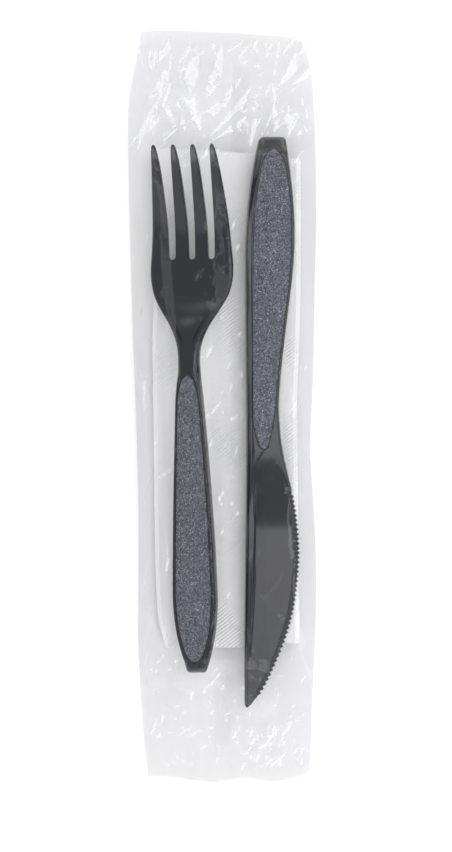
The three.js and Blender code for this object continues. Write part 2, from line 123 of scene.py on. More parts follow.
def make_mesh(name, points, faces, values=None):
    """A mesh object with its place in its mesh, and one number per point for each named value."""
    mesh = bpy.data.meshes.new(name)
    mesh.from_pydata(points.tolist(), [], faces if isinstance(faces, list) else faces.tolist())
    for key, numbers in (values or {}).items():
        layer = mesh.attributes.new(key, "FLOAT", "POINT")
        layer.data.foreach_set("value", np.asarray(numbers, np.float32).ravel())
    obj = bpy.data.objects.new(name, mesh)
    bpy.context.scene.collection.objects.link(obj)
    return obj


def close_up(obj, apart=2e-6):
    """Merges doubles, fills what is still open, and turns the faces outwards."""
    bm = bmesh.new()
    bm.from_mesh(obj.data)
    bmesh.ops.remove_doubles(bm, verts=bm.verts, dist=apart)
    bmesh.ops.dissolve_degenerate(bm, edges=bm.edges, dist=apart / 4)
    open_edges = [e for e in bm.edges if e.is_boundary]
    if open_edges:
        bmesh.ops.holes_fill(bm, edges=open_edges, sides=0)
    bmesh.ops.recalc_face_normals(bm, faces=bm.faces)
    if bm.calc_volume(signed=True) < 0:
        bmesh.ops.reverse_faces(bm, faces=bm.faces)
    still_open = sum(not e.is_manifold for e in bm.edges)
    bm.to_mesh(obj.data)
    bm.free()
    print(f"{obj.name}: {len(obj.data.polygons)} faces, {still_open} open edges")
    return obj


def smooth(obj, sharp_degrees):
    """Smooth shading that keeps edges sharper than this angle."""
    obj.data.shade_smooth()
    obj.data.set_sharp_from_angle(angle=math.radians(sharp_degrees))
    return obj


def laid(points, length, place, yaw, roll, lowest):
    """Turns a piece about its own axis, moves it to its place and sets it down, in metres."""
    p = points - [0, length / 2, 0]
    c, s = math.cos(math.radians(roll)), math.sin(math.radians(roll))
    p = p @ np.array([[c, 0, -s], [0, 1, 0], [s, 0, c]])
    c, s = math.cos(math.radians(yaw)), math.sin(math.radians(yaw))
    p = p @ np.array([[c, s, 0], [-s, c, 0], [0, 0, 1]])
    p = p + [place[0], place[1], 0]
    p[:, 2] += lowest - p[:, 2].min()
    return p * MM


# %% [markdown]
# ## The fork's measures
#
# The fork is one moulding: a shallow handle with a grained panel sunk inside a rim, an arched
# neck, and a curved head with four tapering tines. Distances run from the handle's end.

# %% Fork curves
FORK_LENGTH = 175.2
FORK_PLACE, FORK_YAW, FORK_ROLL = (-9.4, -0.8), 0.91, -13.5
SLOT_ROOT, SLOT_HALF = 138.3, 1.05
FORK_PANEL_FROM, FORK_PANEL_TO = 3.1, 98.9
HANDLE_WALL, HOLLOW_FROM_EDGE = 1.4, 2.2
OUTER_SLOT, INNER_TINE = 6.69, 3.33

fork_half = through([
    (0, 2.5), (0.5, 3.2), (2.5, 3.9), (7.8, 5.3), (13.2, 6.45), (19, 7.15), (26, 7.45),
    (48, 6.8), (69, 5.8), (90, 4.55), (104, 3.6), (109, 4.25), (114.5, 6.4), (120, 9.8),
    (125.2, 12.65), (130, 13.85), (134, 14.1), (141, 13.6), (157, 12.5), (168, 11.55),
    (173.5, 10.9), (174.7, 10.5), (175.2, 10.1)])
fork_panel = through([
    (0, 0.9), (2.6, 0.3), (3.1, 0.15), (4.5, 1.95), (6.5, 3.15), (9.2, 4.1), (15, 5.35), (24, 6.1),
    (41, 5.8), (66, 4.9), (82, 4.1), (90.5, 3.65), (94, 3.0), (97, 2.1), (98.9, 0.15),
    (100, 0.4), (104, 1.6), (112, 2.6), (124, 9.0), (134, 11.2), (157, 10.6), (175.2, 10.02)])
fork_height = through([
    (0, 4.2), (21, 4.9), (48, 5.7), (74, 7.1), (92, 8.4), (104, 8.6), (112, 7.2), (119, 4.2),
    (126, 1.3), (134, 0), (144, 0), (150, 0.9), (157, 2.9), (168, 7), (175.2, 10.8)])
inner_half = through([
    (138, 2.25), (149, 2.1), (157, 1.9), (167.8, 1.5), (173, 1), (174.6, 0.65), (175.3, 0.12)])
outer_middle = through([(138, 10.6), (157, 10.3), (175.2, 9.9)])
outer_half = through([
    (138, 2.8), (149, 2.5), (157, 2.15), (167.8, 1.5), (173, 0.9), (174.6, 0.55), (175.3, 0.12)])
print("the fork is widest at", 2 * float(fork_half(134)), "mm")


# %% Fork grid
def spread(low, high, count, edge_low=0.0, edge_high=0.0):
    """Columns between two edges, with extra ones close to an edge that is rounded."""
    width = high - low
    near = np.array([0.03, 0.1, 0.2, 0.34])
    fit = np.minimum(1, width / 1.5)
    first = [low] + ([low + n * fit for n in near] if edge_low else [])
    last = ([high - n * fit for n in near[::-1]] if edge_high else []) + [high]
    a, b = first[-1], last[0]
    inner = [mix(a, b, k / count) for k in range(1, count)]
    return first + inner + last


def fork_points():
    arc = np.radians([-90, -84, -74, -60, -45, -30, -15])
    y = np.r_[
        0, 0.03, 0.1, 0.22, 0.4, 0.65, 1, 1.5, 2, 2.6,
        np.linspace(FORK_PANEL_FROM, 6.5, 14), np.linspace(7, 92, 142),
        np.linspace(92.5, FORK_PANEL_TO, 20),
        np.linspace(99.2, 104, 12), np.linspace(104.5, 136.8, 66),
        SLOT_ROOT + SLOT_HALF * np.sin(arc), np.linspace(SLOT_ROOT, 172, 62),
        172.5, 173, 173.5, 174, 174.35, 174.65, 174.9, 175.05, 175.15, FORK_LENGTH]
    half, panel = fork_half(y), fork_panel(y)
    head, tine = ease(106, 122, y), ease(SLOT_ROOT, FORK_LENGTH, y)
    flank = mix(mix(2.0, 2.5, ease(85, 104, y)), 0.9, head)
    flank = np.minimum(flank, 0.5 * (half - panel) + 0.45 * np.where(y < 4, 3 - y * 0.6, 0).clip(0))
    flank = np.where(y > 150, np.minimum(flank, 0.45 * outer_half(y) + 0.05), flank)
    split, past = y > SLOT_ROOT - SLOT_HALF, y >= SLOT_ROOT
    round_root = SLOT_HALF * np.sqrt(np.maximum(0, 1 - ((y - SLOT_ROOT) / SLOT_HALF) ** 2))
    gap = np.where(split & ~past, round_root, 0)
    centre = mix(0.45 * panel, OUTER_SLOT, ease(104, 124, y))
    slot_out = np.where(past, outer_middle(y) - outer_half(y), centre + gap)
    slot_in = np.where(past, INNER_TINE + inner_half(y), centre - gap)
    slot_mid = np.where(past, INNER_TINE - inner_half(y), gap)

    # The left outer strip, then the left inner one. The right side mirrors them.
    foot = -half
    turn = np.radians(np.linspace(0, 90, 11))
    columns = [foot + flank * (1 - np.cos(a)) for a in turn]
    rise_share = [np.full_like(y, math.sin(a)) for a in turn]
    rim_in, lip = -panel, np.minimum(0.28, 0.12 * panel)
    top_of_flank = foot + flank
    outer = [mix(top_of_flank, rim_in, k / 3) for k in (1, 2, 3)]
    outer += [rim_in + lip * k / 3 for k in (1, 2, 3)]
    outer += spread(rim_in + lip, -slot_out, 6, 0, 1)[1:]
    columns += outer
    rise_share += [np.ones_like(y)] * len(outer)
    first_strip = len(columns)
    inner = spread(-slot_in, -slot_mid, 8, 1, 1)
    columns += inner
    rise_share += [np.ones_like(y)] * len(inner)
    x = np.stack(columns, 1)
    share = np.stack(rise_share, 1)
    x = np.concatenate([x, -x[:, ::-1]], 1)
    share = np.concatenate([share, share[:, ::-1]], 1)
    count = x.shape[1]
    skip = (first_strip - 1, count // 2 - 1, count - first_strip - 1)

    Y = np.repeat(y[:, None], count, 1)
    col = lambda v: v[:, None]
    # Distance to the nearest edge of a gap, where there is one.
    ax = np.abs(x)
    to_gap = np.minimum(np.where(ax >= col(slot_out) - 1e-9, ax - col(slot_out), 99),
                        np.where(ax <= col(slot_in) + 1e-9, col(slot_in) - ax, 99))
    to_gap = np.minimum(to_gap, np.where(ax >= col(slot_mid) - 1e-9, ax - col(slot_mid), 99))
    narrow = col(np.where(past, np.minimum(inner_half(y), outer_half(y)), 9))
    gap_edge = np.where(col(split), shoulder(to_gap, np.minimum(0.34, 0.9 * narrow)), 1)
    ends = shoulder(Y, 1.3) * shoulder(FORK_LENGTH - Y, 0.9)

    flare = 0.005 * x**2 * col(head * mix(1, 0.6, tine))
    thick = mix(mix(3.6, 1.9, head), 1.15, tine)
    deep = mix(4.1, thick, ease(88, 118, y)) * mix(0.75, 1, ease(0, 6, y))
    z = fork_height(y)
    inside = (ax < col(panel)) & (Y > FORK_PANEL_FROM) & (Y < FORK_PANEL_TO)
    sunk = np.clip((col(panel) - ax) / np.maximum(col(lip), 1e-6), 0, 1)
    middle = np.clip(1 - (ax / np.maximum(col(panel), 1e-6)) ** 2, 0, 1)
    from_end = np.minimum((Y - FORK_PANEL_FROM) / 1.0, (FORK_PANEL_TO - Y) / 1.2).clip(0)
    panel_depth = 0.38 * np.minimum(1, from_end)
    face = np.where(inside, -panel_depth * sunk + 0.22 * middle * ease(3, 12, Y), 0)
    crown = mix(0.0, 0.45, ease(98, 104, y) * (1 - ease(112, 122, y)))
    face = face - col(crown) * (ax / np.maximum(col(half), 1e-6)) ** 2
    base = col(z - deep)
    top = base + (col(z) + face - base) * share * gap_edge * ends
    under = col(z - mix(HANDLE_WALL, thick, ease(88, 104, y)) - 1.2 * (1 - ease(1, 8, y)))
    hollow = ease(HANDLE_WALL, HOLLOW_FROM_EDGE, col(half) - ax)
    hollow = hollow * ease(2, 4, Y) * col(1 - ease(96, 104, y))
    bottom = mix(base, np.minimum(under, top - 0.8), hollow)
    bottom = np.minimum(bottom, top)
    points = np.concatenate([
        np.stack([x, Y, top + flare], 2).reshape(-1, 3),
        np.stack([x, Y, bottom + flare], 2).reshape(-1, 3)])
    faces = np.concatenate([
        grid_faces(len(y), count), grid_faces(len(y), count, x.size, True)])
    # Faces across a gap are left out once the gap has opened.
    rows_split = np.nonzero(split)[0][0] - 1
    first = faces.min(1) % x.size
    row, column = first // count, first % count
    across = np.isin(column, skip)
    faces = faces[~(across & (row >= rows_split))]
    grain = np.where(inside & (sunk > 0.99), 1.0, 0.0) * (panel_depth > 0.2)
    return points, faces, np.r_[grain.ravel(), np.zeros(x.size)]


fork_xyz, fork_faces, fork_grain = fork_points()
fork_xyz = laid(fork_xyz, FORK_LENGTH, FORK_PLACE, FORK_YAW, FORK_ROLL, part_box("fork")[0].z / MM)
fork = close_up(make_mesh("fork_moulding", fork_xyz, fork_faces, {"grain": fork_grain}))
smooth(fork, 40)

# %% [markdown]
# ## The knife
#
# The knife is one moulding too: the same shell handle with a sunk panel, then a flat blade whose
# toothed edge has a bevel. Its outline could be cut from a plate, but the flanks and the bevel
# follow the edge, so the columns of a grid run along them instead. The rows fall on every tooth's
# point and valley, four to a tooth, which keeps the teeth sharp. Distances run from the tip.

# %% Knife curves
KNIFE_LENGTH = 189.8
KNIFE_PANEL_FROM, KNIFE_PANEL_TO = 85.5, 185.9
KNIFE_PLACE, KNIFE_ROLL = (7.73, -5.2), 5
BLADE_FROM, TOOTH_PITCH, TOOTH_DEPTH = 71.2, 1.56, 0.78
BLADE_THICK, EDGE_THICK, RIM_HEIGHT = 2.1, 0.6, 4.7

knife_left = through([
    (0, 0.3), (0.8, -0.15), (3, -0.3), (22, -0.3), (86, 0.25), (122, 0.05), (150, -0.12),
    (161, 0.33), (171.7, 1.37), (182.3, 3.0), (187.4, 4.1), (188.9, 4.6), (189.8, 5.6)])
knife_right = through([
    (71.3, 15.6), (73, 15.4), (78.3, 14.1), (83.7, 12.9), (89, 12), (99.7, 11.25), (107.7, 11.6),
    (123.7, 13.3), (145, 15.9), (155.7, 16.5), (166.3, 16.2), (177, 15.2), (186.7, 13.9),
    (188.9, 13.5), (189.8, 12.6)])
tooth_root = through([
    (0, 0.8), (0.7, 1.6), (3.7, 3.8), (10.3, 7.5), (21.3, 12.25), (30.7, 15.1), (40, 16.65),
    (51, 17.45), (61.5, 16.8), (71, 15.3)])
panel_left = through([
    (85.5, 5.75), (86.6, 4.6), (88.5, 3.7), (92, 2.6), (96, 2.05), (150, 2.05), (158, 2.3),
    (169, 3.2), (179.5, 4.75), (182.9, 6.0), (185.3, 7.9), (185.9, 9.1)])
panel_right = through([
    (85.5, 6.15), (86.3, 7.0), (90, 8.2), (97, 9.5), (109, 10.6), (125, 12.4), (143, 14.6),
    (158, 15.2), (170, 14.7), (181.8, 12.8), (184.2, 11.3), (185.9, 9.4)])
rim_inner = through([(71, 14.4), (75.6, 13.55), (80, 12.0), (86, 10.4), (91.6, 9.0), (94, 9.1)])
print("the knife's handle is", round(float(knife_right(155.7) - knife_left(155.7)), 1), "mm wide")


# %% Knife grid
def knife_points():
    root = BLADE_FROM - 0.3
    teeth = root - np.arange(0, 172) * TOOTH_PITCH / 4
    teeth = teeth[teeth > 4.2][::-1]
    y = np.r_[
        0, 0.05, 0.15, 0.35, 0.7, 1.2, 1.8, 2.5, 3.3, 4.0, teeth,
        71.05, 71.2, np.linspace(71.4, 74, 12), np.linspace(74.4, 85.3, 28),
        np.linspace(KNIFE_PANEL_FROM, 89, 14), np.linspace(89.5, 182, 150),
        np.linspace(182.4, KNIFE_PANEL_TO, 14),
        186.3, 186.8, 187.3, 187.8, 188.2, 188.6, 188.9, 189.2, 189.4, 189.55, 189.67, 189.75,
        KNIFE_LENGTH]
    on_blade = y < BLADE_FROM
    blade = 1 - ease(68, 86, y)
    left = knife_left(y)
    phase = np.abs(((root - y) / TOOTH_PITCH) % 1 - 0.5) * 2  # 1 in a valley and 0 on a point
    toothed = ease(2.5, 4.5, y)
    steep = np.hypot(1, np.gradient(tooth_root(y), y))
    blade_edge = tooth_root(y) + TOOTH_DEPTH * steep * (1 - phase) * toothed
    blade_edge = mix(blade_edge, knife_right(71.3), ease(70.9, 71.3, y))
    right = np.where(on_blade, blade_edge, knife_right(y))
    plain_right = np.where(on_blade, tooth_root(y) + 0.4, knife_right(y))
    width = plain_right - left
    flank_l = mix(1.9, np.minimum(0.9, 0.4 * width), 1 - ease(60, 90, y))
    flank_l = np.minimum(flank_l, 0.45 * width)
    p_left = mix(panel_left(y), left + mix(1.2, 2.5, ease(5, 60, y)), 1 - ease(80, 86, y))
    p_left = np.minimum(p_left, left + 0.5 * width)
    p_right = panel_right(y)
    near_butt = ease(186, 189.8, y)
    p_left = mix(p_left, left + 0.42 * width, near_butt)
    p_right = mix(p_right, left + 0.58 * width, near_butt)
    flank_r = mix(1.5, 1.15, 1 - ease(90, 110, y)) * mix(1, 0.75, 1 - ease(72, 80, y))
    bevel = np.minimum(1.75, 0.45 * width)
    over = 1 - ease(70.8, 71.6, y)  # 1 where the edge is bevelled
    flank_r = mix(flank_r, bevel, over)
    flank_end = right - flank_r
    flank_end = np.where(on_blade, plain_right - bevel, flank_end)
    flank_end = np.where(y > 84, np.maximum(flank_end, p_right + 0.25), flank_end)
    rim_in = np.where(y < 91.6, np.minimum(rim_inner(y), flank_end - 0.25), p_right)
    rim_in = mix(mix(left, flank_end, 0.93), rim_in, ease(71, 73, y))
    rim_in = np.where(y > 84, np.maximum(rim_in, p_right), rim_in)
    face_r = mix(mix(p_left, rim_in, 0.7), p_right, ease(78, 86, y))
    face_r = np.where(y < 78, mix(p_left, rim_in, 0.7), face_r)

    lip_l = mix(0.3, 0.9, 1 - ease(74, 86, y))
    lip_l = np.minimum(lip_l, 0.2 * (face_r - p_left))
    lip_r = np.minimum(0.3, 0.2 * (face_r - p_left))
    turn = np.radians(np.linspace(0, 90, 11))
    keys = [left + flank_l * (1 - np.cos(a)) for a in turn]
    keys += [mix(left + flank_l, p_left, k / 3) for k in (1, 2, 3)]
    keys += [p_left + lip_l * k / 4 for k in (1, 2, 3, 4)]
    a, b = p_left + lip_l, face_r - lip_r
    keys += [mix(a, b, k / 14) for k in range(1, 15)]
    keys += [b + lip_r * k / 3 for k in (1, 2, 3)]
    keys += [mix(face_r, rim_in, k / 4) for k in (1, 2, 3, 4)]
    keys += [mix(rim_in, flank_end, k / 4) for k in (1, 2, 3, 4)]
    flat = np.linspace(0, 1, 11)
    keys += [mix(mix(flank_end, right, np.sin(t * math.pi / 2)), mix(flank_end, right, t), over)
             for t in flat[1:]]
    x = np.stack(keys, 1)
    n = x.shape[1]
    Y = np.repeat(y[:, None], n, 1)
    col = lambda v: v[:, None]

    butt = mix(1, 0.66, ease(183, 189.8, y) ** 1.5)
    rib = 1.5 * ease(12, 60, y)
    rim = mix(RIM_HEIGHT * butt, BLADE_THICK + rib, blade)
    ramp = mix(BLADE_THICK, RIM_HEIGHT * butt - 0.05, ease(58, 86, y))
    up = ease(71.3, 73.6, y) * 0.85 + 0.15 * ease(73, 90, y)
    right_rim = mix(BLADE_THICK, RIM_HEIGHT * butt, up)
    inside = (Y > KNIFE_PANEL_FROM) & (Y < KNIFE_PANEL_TO)
    inside &= (x > col(p_left) + 1e-6) & (x < col(face_r) - 1e-6)
    from_end = np.minimum((Y - KNIFE_PANEL_FROM) / 1.2, (KNIFE_PANEL_TO - Y) / 1.2).clip(0)
    depth = 0.34 * np.minimum(1, from_end)
    l1, l2 = col(left + flank_l), col(p_left)
    fall = ease(0, 1, (x - l2) / np.maximum(col(lip_l), 1e-6))
    width_in = np.maximum(col(face_r - p_left), 1e-6)
    across = np.clip((x - l2) / width_in, 0, 1)
    dome = 0.26 * 4 * across * (1 - across) * ease(86, 94, Y) * (1 - ease(178, 186, Y))
    face = mix(col(ramp), col(rim) - depth + dome, ease(84.5, 86, Y))
    mid = mix(col(rim), face, fall)
    right_lip = ease(0, 1, (x - col(face_r - lip_r)) / np.maximum(col(lip_r), 1e-6))
    mid = mix(mid, mix(col(ramp), col(rim), ease(85, 90, Y)), right_lip * ease(84.5, 86, Y))
    rim_width = np.maximum(col(0.55 * (rim_in - face_r)), 1e-6)
    up_rim = ease(0, 1, (x - col(mix(face_r, rim_in, 0.45))) / rim_width)
    mid = mix(mid, col(right_rim), up_rim * ease(71, 73.5, Y))
    top = np.where(x <= l2 + 1e-9, col(rim), mid)
    out = np.clip((x - col(flank_end)) / np.maximum(col(right - flank_end), 1e-6), 0, 1)
    round_edge = np.sqrt(np.maximum(0, 1 - out**2))
    bevelled = mix(BLADE_THICK, EDGE_THICK, out)
    fall_r = mix(col(right_rim) * round_edge, bevelled, col(over))
    top = np.where(x > col(flank_end) + 1e-9, fall_r, top)
    rise_l = np.interp(np.clip((x - col(left)) / col(flank_l), 0, 1),
                       [0, 0.03, 0.09, 0.15, 0.92, 1], [0, 0.45, 0.66, 0.745, 0.985, 1])
    top = np.where(x < l1 - 1e-9, col(rim) * rise_l, top)
    ends = shoulder(Y, 0.5) * shoulder(KNIFE_LENGTH - Y, 1.0)
    top = top * ends
    foot = np.minimum(x - col(left), col(right) - x)
    hollow = ease(HANDLE_WALL, HOLLOW_FROM_EDGE, foot) * ease(86, 92, Y) * (1 - ease(184, 187, Y))
    bottom = hollow * np.maximum(0, top - HANDLE_WALL)
    points = np.concatenate([
        np.stack([x, Y, top], 2).reshape(-1, 3), np.stack([x, Y, bottom], 2).reshape(-1, 3)])
    # The edges' walls join the two grids where the blade has a thickness.
    m = x.size
    j = np.arange(len(y) - 1)
    side = j * n + n - 1
    wall = np.stack([side, side + m, side + n + m, side + n], 1)
    faces = np.concatenate([
        grid_faces(len(y), n), grid_faces(len(y), n, m, True), wall])
    grain = (inside & (x > col(p_left + 0.9 * lip_l)) & (x < col(face_r - 0.9 * lip_r))
             & (depth > 0.2))
    return points, faces, np.r_[grain.ravel().astype(float), np.zeros(m)]


knife_xyz, knife_faces, knife_grain = knife_points()
knife_xyz = laid(knife_xyz, KNIFE_LENGTH, KNIFE_PLACE, 0, KNIFE_ROLL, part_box("knife")[0].z / MM)
knife = close_up(make_mesh("knife_moulding", knife_xyz, knife_faces, {"grain": knife_grain}))
smooth(knife, 40)

# %% [markdown]
# ## The napkin
#
# A dinner napkin is one thin sheet folded twelve layers deep. Its section is a strip that doubles
# back at every fold, so the mesh is a grid that follows the strip, with a top side, an underside
# and narrow walls where the paper ends. The layers don't quite line up, as in any folded napkin,
# and the upper ones are rumpled most. The layers between the top and the bottom one have few
# columns, so inside the stack a wave of one layer can dip a little into the next.

# %% Napkin mesh
NAPKIN_LAYERS, NAPKIN_WIDTH, TISSUE = 12, 50, 0.13
SOFT_WAVE, RUMPLE = 0.1, 0.11
napkin_left = through([
    (-80, -19), (-77, -19.8), (-71, -21.3), (-62, -22), (-51, -22.4), (2, -23.1), (22, -23.4),
    (35, -22.9), (60, -23.2), (86, -23.3)])
napkin_right = through([
    (-80, 25.9), (-66, 26.0), (-55, 25.6), (-15, 25.4), (2, 25.2), (20, 25.9), (37, 26.3),
    (86, 26.35)])


def napkin_points():
    low, high = (c.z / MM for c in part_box("napkin"))
    pitch = (high - low - TISSUE) / (NAPKIN_LAYERS - 1)
    rng = np.random.default_rng(3)
    line = []  # share of the width, height, layer
    for k in range(NAPKIN_LAYERS):
        count = {0: 40, NAPKIN_LAYERS - 1: 90}.get(k, 8)
        inset = 0.006 + 0.012 * rng.random() + (0.018 if k % 4 > 1 else 0)
        start, end = (inset, 1 - inset) if k % 2 == 0 else (1 - inset, inset)
        if k:
            start = line[-1][0]
        line += [(mix(start, end, t), k * pitch, k) for t in np.linspace(0.0, 1, count)]
        if k < NAPKIN_LAYERS - 1:
            side = 1 if k % 2 == 0 else -1
            for a in np.radians([-60, -25, 25, 60]):
                out = side * pitch / 2 * (math.cos(a) - 0.3) / NAPKIN_WIDTH
                line.append((end + out, (k + 0.5) * pitch + pitch / 2 * math.sin(a),
                             k + 0.5 + 0.4 * math.sin(a)))
    share, z, layer = np.array(line).T
    run = np.gradient(np.stack([share * NAPKIN_WIDTH, z], 1), axis=0)
    run /= np.maximum(np.linalg.norm(run, axis=1, keepdims=True), 1e-9)
    across = np.stack([-run[:, 1], run[:, 0]], 1) * TISSUE / 2
    v = np.linspace(0, 1, 130)[:, None]
    slip = np.interp(layer, np.arange(NAPKIN_LAYERS), rng.uniform(-0.35, 0.35, NAPKIN_LAYERS))
    sides = []
    for sign in (1, -1):
        s = share[None] + sign * across[None, :, 0] / NAPKIN_WIDTH
        far = s * 49.7
        upper = 85.85 - 0.03 * far - 0.0009 * far**2 + slip[None] * 0.9
        lower = -80.1 + 2.0 * ease(30, 33.5, far) - 0.7 * ease(47, 49.7, far) - slip[None] * 0.8
        y = mix(lower, upper, v)
        x = mix(napkin_left(y), napkin_right(y), s)
        soft = (np.sin(x / 7.1 + y / 13) + np.sin(y / 9.3 - x / 17) + np.sin(y / 4.1 + x / 5)) / 3
        height = low + TISSUE / 2 + z[None] + sign * across[None, :, 1]
        height = height + SOFT_WAVE * (soft - 0.6) * (layer[None] / NAPKIN_LAYERS) ** 2
        rumple = np.sin(x * 1.25 + y / 31 + np.sin(y / 19)) * np.sin(y / 23 + x / 9)
        height = height + RUMPLE * rumple * (layer[None] / NAPKIN_LAYERS) ** 3
        sides.append(np.stack([x, y, height], 2))
    n, rows = len(share), len(v)
    points = np.concatenate([side.reshape(-1, 3) for side in sides])
    m = n * rows
    i = np.arange(n - 1)
    j = np.arange(rows - 1)
    near = np.stack([i, i + m, i + 1 + m, i + 1], 1)
    far = near[:, ::-1] + (rows - 1) * n
    first = np.stack([j * n, (j + 1) * n, (j + 1) * n + m, j * n + m], 1)
    last = first[:, ::-1] + n - 1
    faces = np.concatenate([
        grid_faces(rows, n), grid_faces(rows, n, m, True), near, far, first, last])
    return points * MM, faces


napkin = close_up(make_mesh("folded_napkin", *napkin_points()))
smooth(napkin, 50)

# %% [markdown]
# ## The film sleeve
#
# The sleeve is film wrapped round everything else. It is pulled tight across, so it behaves like
# a membrane: it touches the high points of the cutlery and spans freely between them. Rays cast
# down on the finished cutlery and napkin give the heights that the film may not sink below. The
# membrane is then relaxed over them, on coarse grids first and finer ones after, because a fine
# grid alone would take thousands of rounds to settle.

# %% Sleeve outline
sleeve_left = through([
    (-125.3, -24.6), (-109, -26.2), (-93, -27.2), (-76, -28), (-51, -27.8), (-26, -28), (-9, -28.5),
    (24, -29.7), (57, -30.7), (90, -31.35), (99, -31.2), (107, -30.3), (117, -28.3), (125.3, -26.8)])
sleeve_right = through([
    (-125.3, 29.1), (-110, 29.7), (-93, 30.3), (-76, 31.1), (-60, 31.35), (-43, 31), (-26, 30),
    (-13.5, 29.3), (7, 30.2), (40, 30.9), (65, 31.35), (90, 31), (107, 30.2), (118, 29.2),
    (125.3, 27.6)])
sleeve_top = through([
    (-27, 124.9), (-18, 125.25), (1.3, 124.6), (19.3, 123.4), (25.3, 122.2), (28.5, 119.9),
    (29.4, 117.5)])
sleeve_bottom = through([
    (-25, -123.2), (-16.7, -123.5), (-10.7, -124.5), (-2.5, -125.25), (7.3, -123.9), (15.5, -124.9),
    (21.3, -124.5), (29.5, -122.1)])
FILM_COLUMNS = 140
SLEEVE_WIDTH, SEAL = 62, 5.5


def sleeve_grid():
    s = np.r_[
        np.linspace(-124.6, -84, 80), np.linspace(-83, 78, 150), np.linspace(78.4, 124.9, 117)]
    t = np.linspace(0, 1, FILM_COLUMNS)
    t = mix(t, ease(0, 1, t), 0.25)
    y0 = np.repeat(s[:, None], FILM_COLUMNS, 1)
    x = mix(sleeve_left(y0), sleeve_right(y0), t[None])
    to_top = (1 - ease(0, 16, s[-1] - y0)) * (sleeve_top(x) - s[-1])
    to_bottom = (1 - ease(0, 12, y0 - s[0])) * (sleeve_bottom(x) - s[0])
    return x, y0 + to_top + to_bottom


film_x, film_y = sleeve_grid()
print("film grid:", film_x.shape, "spacing about", round(SLEEVE_WIDTH / FILM_COLUMNS, 2), "mm")


# %% Heights of the contents
def looking_down(objects, x, y):
    """The highest point of the objects under each place, in millimetres, or 0 beside them."""
    height = np.zeros(x.shape)
    for o in objects:
        corners, polygons = o.data.vertices, o.data.polygons
        tree = BVHTree.FromPolygons([v.co for v in corners], [p.vertices for p in polygons])
        down = Vector((0, 0, -1))
        for k in np.ndindex(x.shape):
            hit = tree.ray_cast(Vector((x[k] * MM, y[k] * MM, 0.1)), down)[0]
            if hit:
                height[k] = max(height[k], hit.z / MM)
    return height


def widen(height):
    """Each place takes the highest value of itself and its neighbours."""
    out = height.copy()
    for shift in (1, -1):
        for axis in (0, 1):
            out = np.maximum(out, np.roll(height, shift, axis))
    return out


cutlery = widen(looking_down([fork, knife], film_x, film_y))
contents = np.maximum(cutlery, widen(looking_down([napkin], film_x, film_y)))
print("highest point of the contents:", round(contents.max(), 2), "mm")


# %% Membrane
def resized(grid, rows, columns):
    """The same heights on a grid of another size."""
    j = np.linspace(0, grid.shape[0] - 1, rows)
    i = np.linspace(0, grid.shape[1] - 1, columns)
    half = np.stack([np.interp(j, np.arange(grid.shape[0]), c) for c in grid.T], 1)
    return np.stack([np.interp(i, np.arange(grid.shape[1]), r) for r in half])


def relaxed(sheet, floor, rounds, puff, lengthways=0.3):
    """Pulls every point to the mean of its neighbours, lifts it by puff and keeps it off the floor."""
    for _ in range(rounds):
        mean = (1 - lengthways) / 2 * (sheet[1:-1, :-2] + sheet[1:-1, 2:])
        mean += lengthways / 2 * (sheet[:-2, 1:-1] + sheet[2:, 1:-1]) + puff
        sheet[1:-1, 1:-1] = np.maximum(floor[1:-1, 1:-1], mean)
    return sheet


FOLD_HEIGHT = 0.35
AIR = 0.22
BULGE = 0.008  # curve of the film across, per millimetre, from the air sealed in
rows, columns = film_x.shape
sheet = np.full((24, 8), FOLD_HEIGHT)
for shrink in (16, 8, 4, 2, 1):
    r, c = max(24, rows // shrink), max(8, columns // shrink)
    floor = resized(contents + AIR, r, c)
    sheet = resized(sheet, r, c)
    sheet[[0, -1]] = FOLD_HEIGHT
    sheet[:, [0, -1]] = FOLD_HEIGHT
    from_middle = np.abs(resized(film_y, r, c)[1:-1, 1:-1])
    puff = BULGE * (SLEEVE_WIDTH / c) ** 2 * mix(1, 0, ease(80, 95, from_middle))
    sheet = relaxed(sheet, floor, 260 if shrink > 1 else 120, puff)
taut = sheet
print("the film rises to", round(taut.max(), 2), "mm")

# %% [markdown]
# ## Creases in the film
#
# Thin film doesn't bend in soft waves. It stays flat and breaks into straight, sharp creases that
# fan out from what pulls on it. So each crease here is a low tent along a short line: it has a
# sharp ridge, and it fades out at both ends. Many such lines at several sizes give the facets that
# catch the light. The largest crowd together beyond the tines and the knife's handle, and the
# other end has many small ones.
#
# The sheen of clear film is faint, so facets alone hardly show. Each crease therefore also gets a
# painted highlight, matt white on one of its two sides. It is stored in the mesh, so it doesn't
# follow the light or the view, as a true highlight would. It is chosen for how it looks.


# %% Creases
def creased(x, y, lines):
    """The sum of many low four-sided tents, each with a long ridge."""
    height = np.zeros(x.shape)
    for cx, cy, angle, length, width, lift, peak in lines:
        rows_near = np.nonzero(np.abs(y - cy).min(1) < length)[0]
        if len(rows_near) == 0:
            continue
        part = slice(rows_near[0], rows_near[-1] + 1)
        dx, dy = x[part] - cx, y[part] - cy
        along = dx * math.sin(angle) + dy * math.cos(angle)
        across = np.abs(dx * math.cos(angle) - dy * math.sin(angle))
        run = np.where(along > 0, along / (length * peak), -along / (length * (1 - peak)))
        height[part] += lift * np.clip(1 - run - across / width, 0, 1)
    return height


